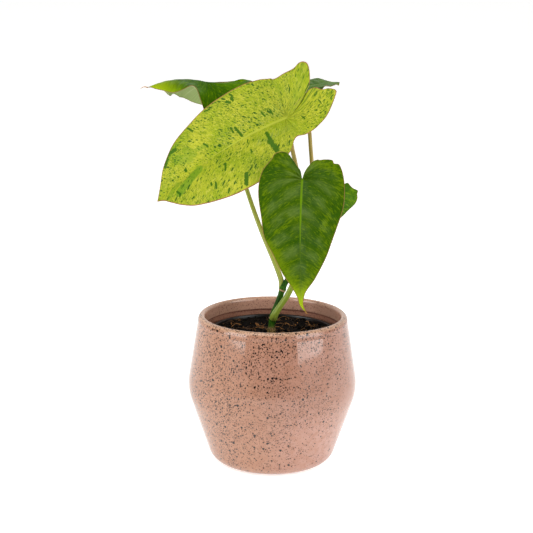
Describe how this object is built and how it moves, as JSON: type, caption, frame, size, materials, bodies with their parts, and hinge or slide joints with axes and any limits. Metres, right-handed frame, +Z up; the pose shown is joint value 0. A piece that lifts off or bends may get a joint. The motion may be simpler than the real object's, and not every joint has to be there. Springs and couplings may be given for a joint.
{
  "type": "potted philodendron",
  "caption": "Young philodendron with heart-shaped leaves on a short stem, in a growing pot inside a speckled ceramic cover pot.",
  "frame": {"origin": "centre of the cover pot's flat base, where it stands", "axes": "+Z up; +X right and -Y towards the side that the plant is seen from, so its front leaf faces -Y"},
  "size_m": [0.1976, 0.1899, 0.3726],
  "materials": {
    "glaze": "glossy peach glaze with dark brown speckles",
    "black_plastic": "satin black",
    "potting_soil": "dark crumbly soil",
    "stem_skin": "green with brown scars",
    "large_leaf_skin": "waxy lime and yellow-green with dark green flecks",
    "front_leaf_skin": "waxy mid green with greyish patches",
    "back_leaf_skin": "waxy dark green, paler below",
    "brown_petiole_skin": "pinkish brown, satin",
    "green_petiole_skin": "yellow-green, satin"
  },
  "bodies": {
    "root": {"cover_pot": "glaze", "growing_pot": "black_plastic", "soil": "potting_soil", "stem": "stem_skin", "large_variegated_petiole": "brown_petiole_skin", "front_green_petiole": "green_petiole_skin", "back_left_petiole": "green_petiole_skin", "back_right_petiole": "brown_petiole_skin", "small_right_petiole": "brown_petiole_skin", "large_variegated_leaf": "large_leaf_skin", "front_green_leaf": "front_leaf_skin", "back_left_leaf": "back_leaf_skin", "back_right_leaf": "back_leaf_skin", "small_right_leaf": "back_leaf_skin"}
  },
  "joints": []
}
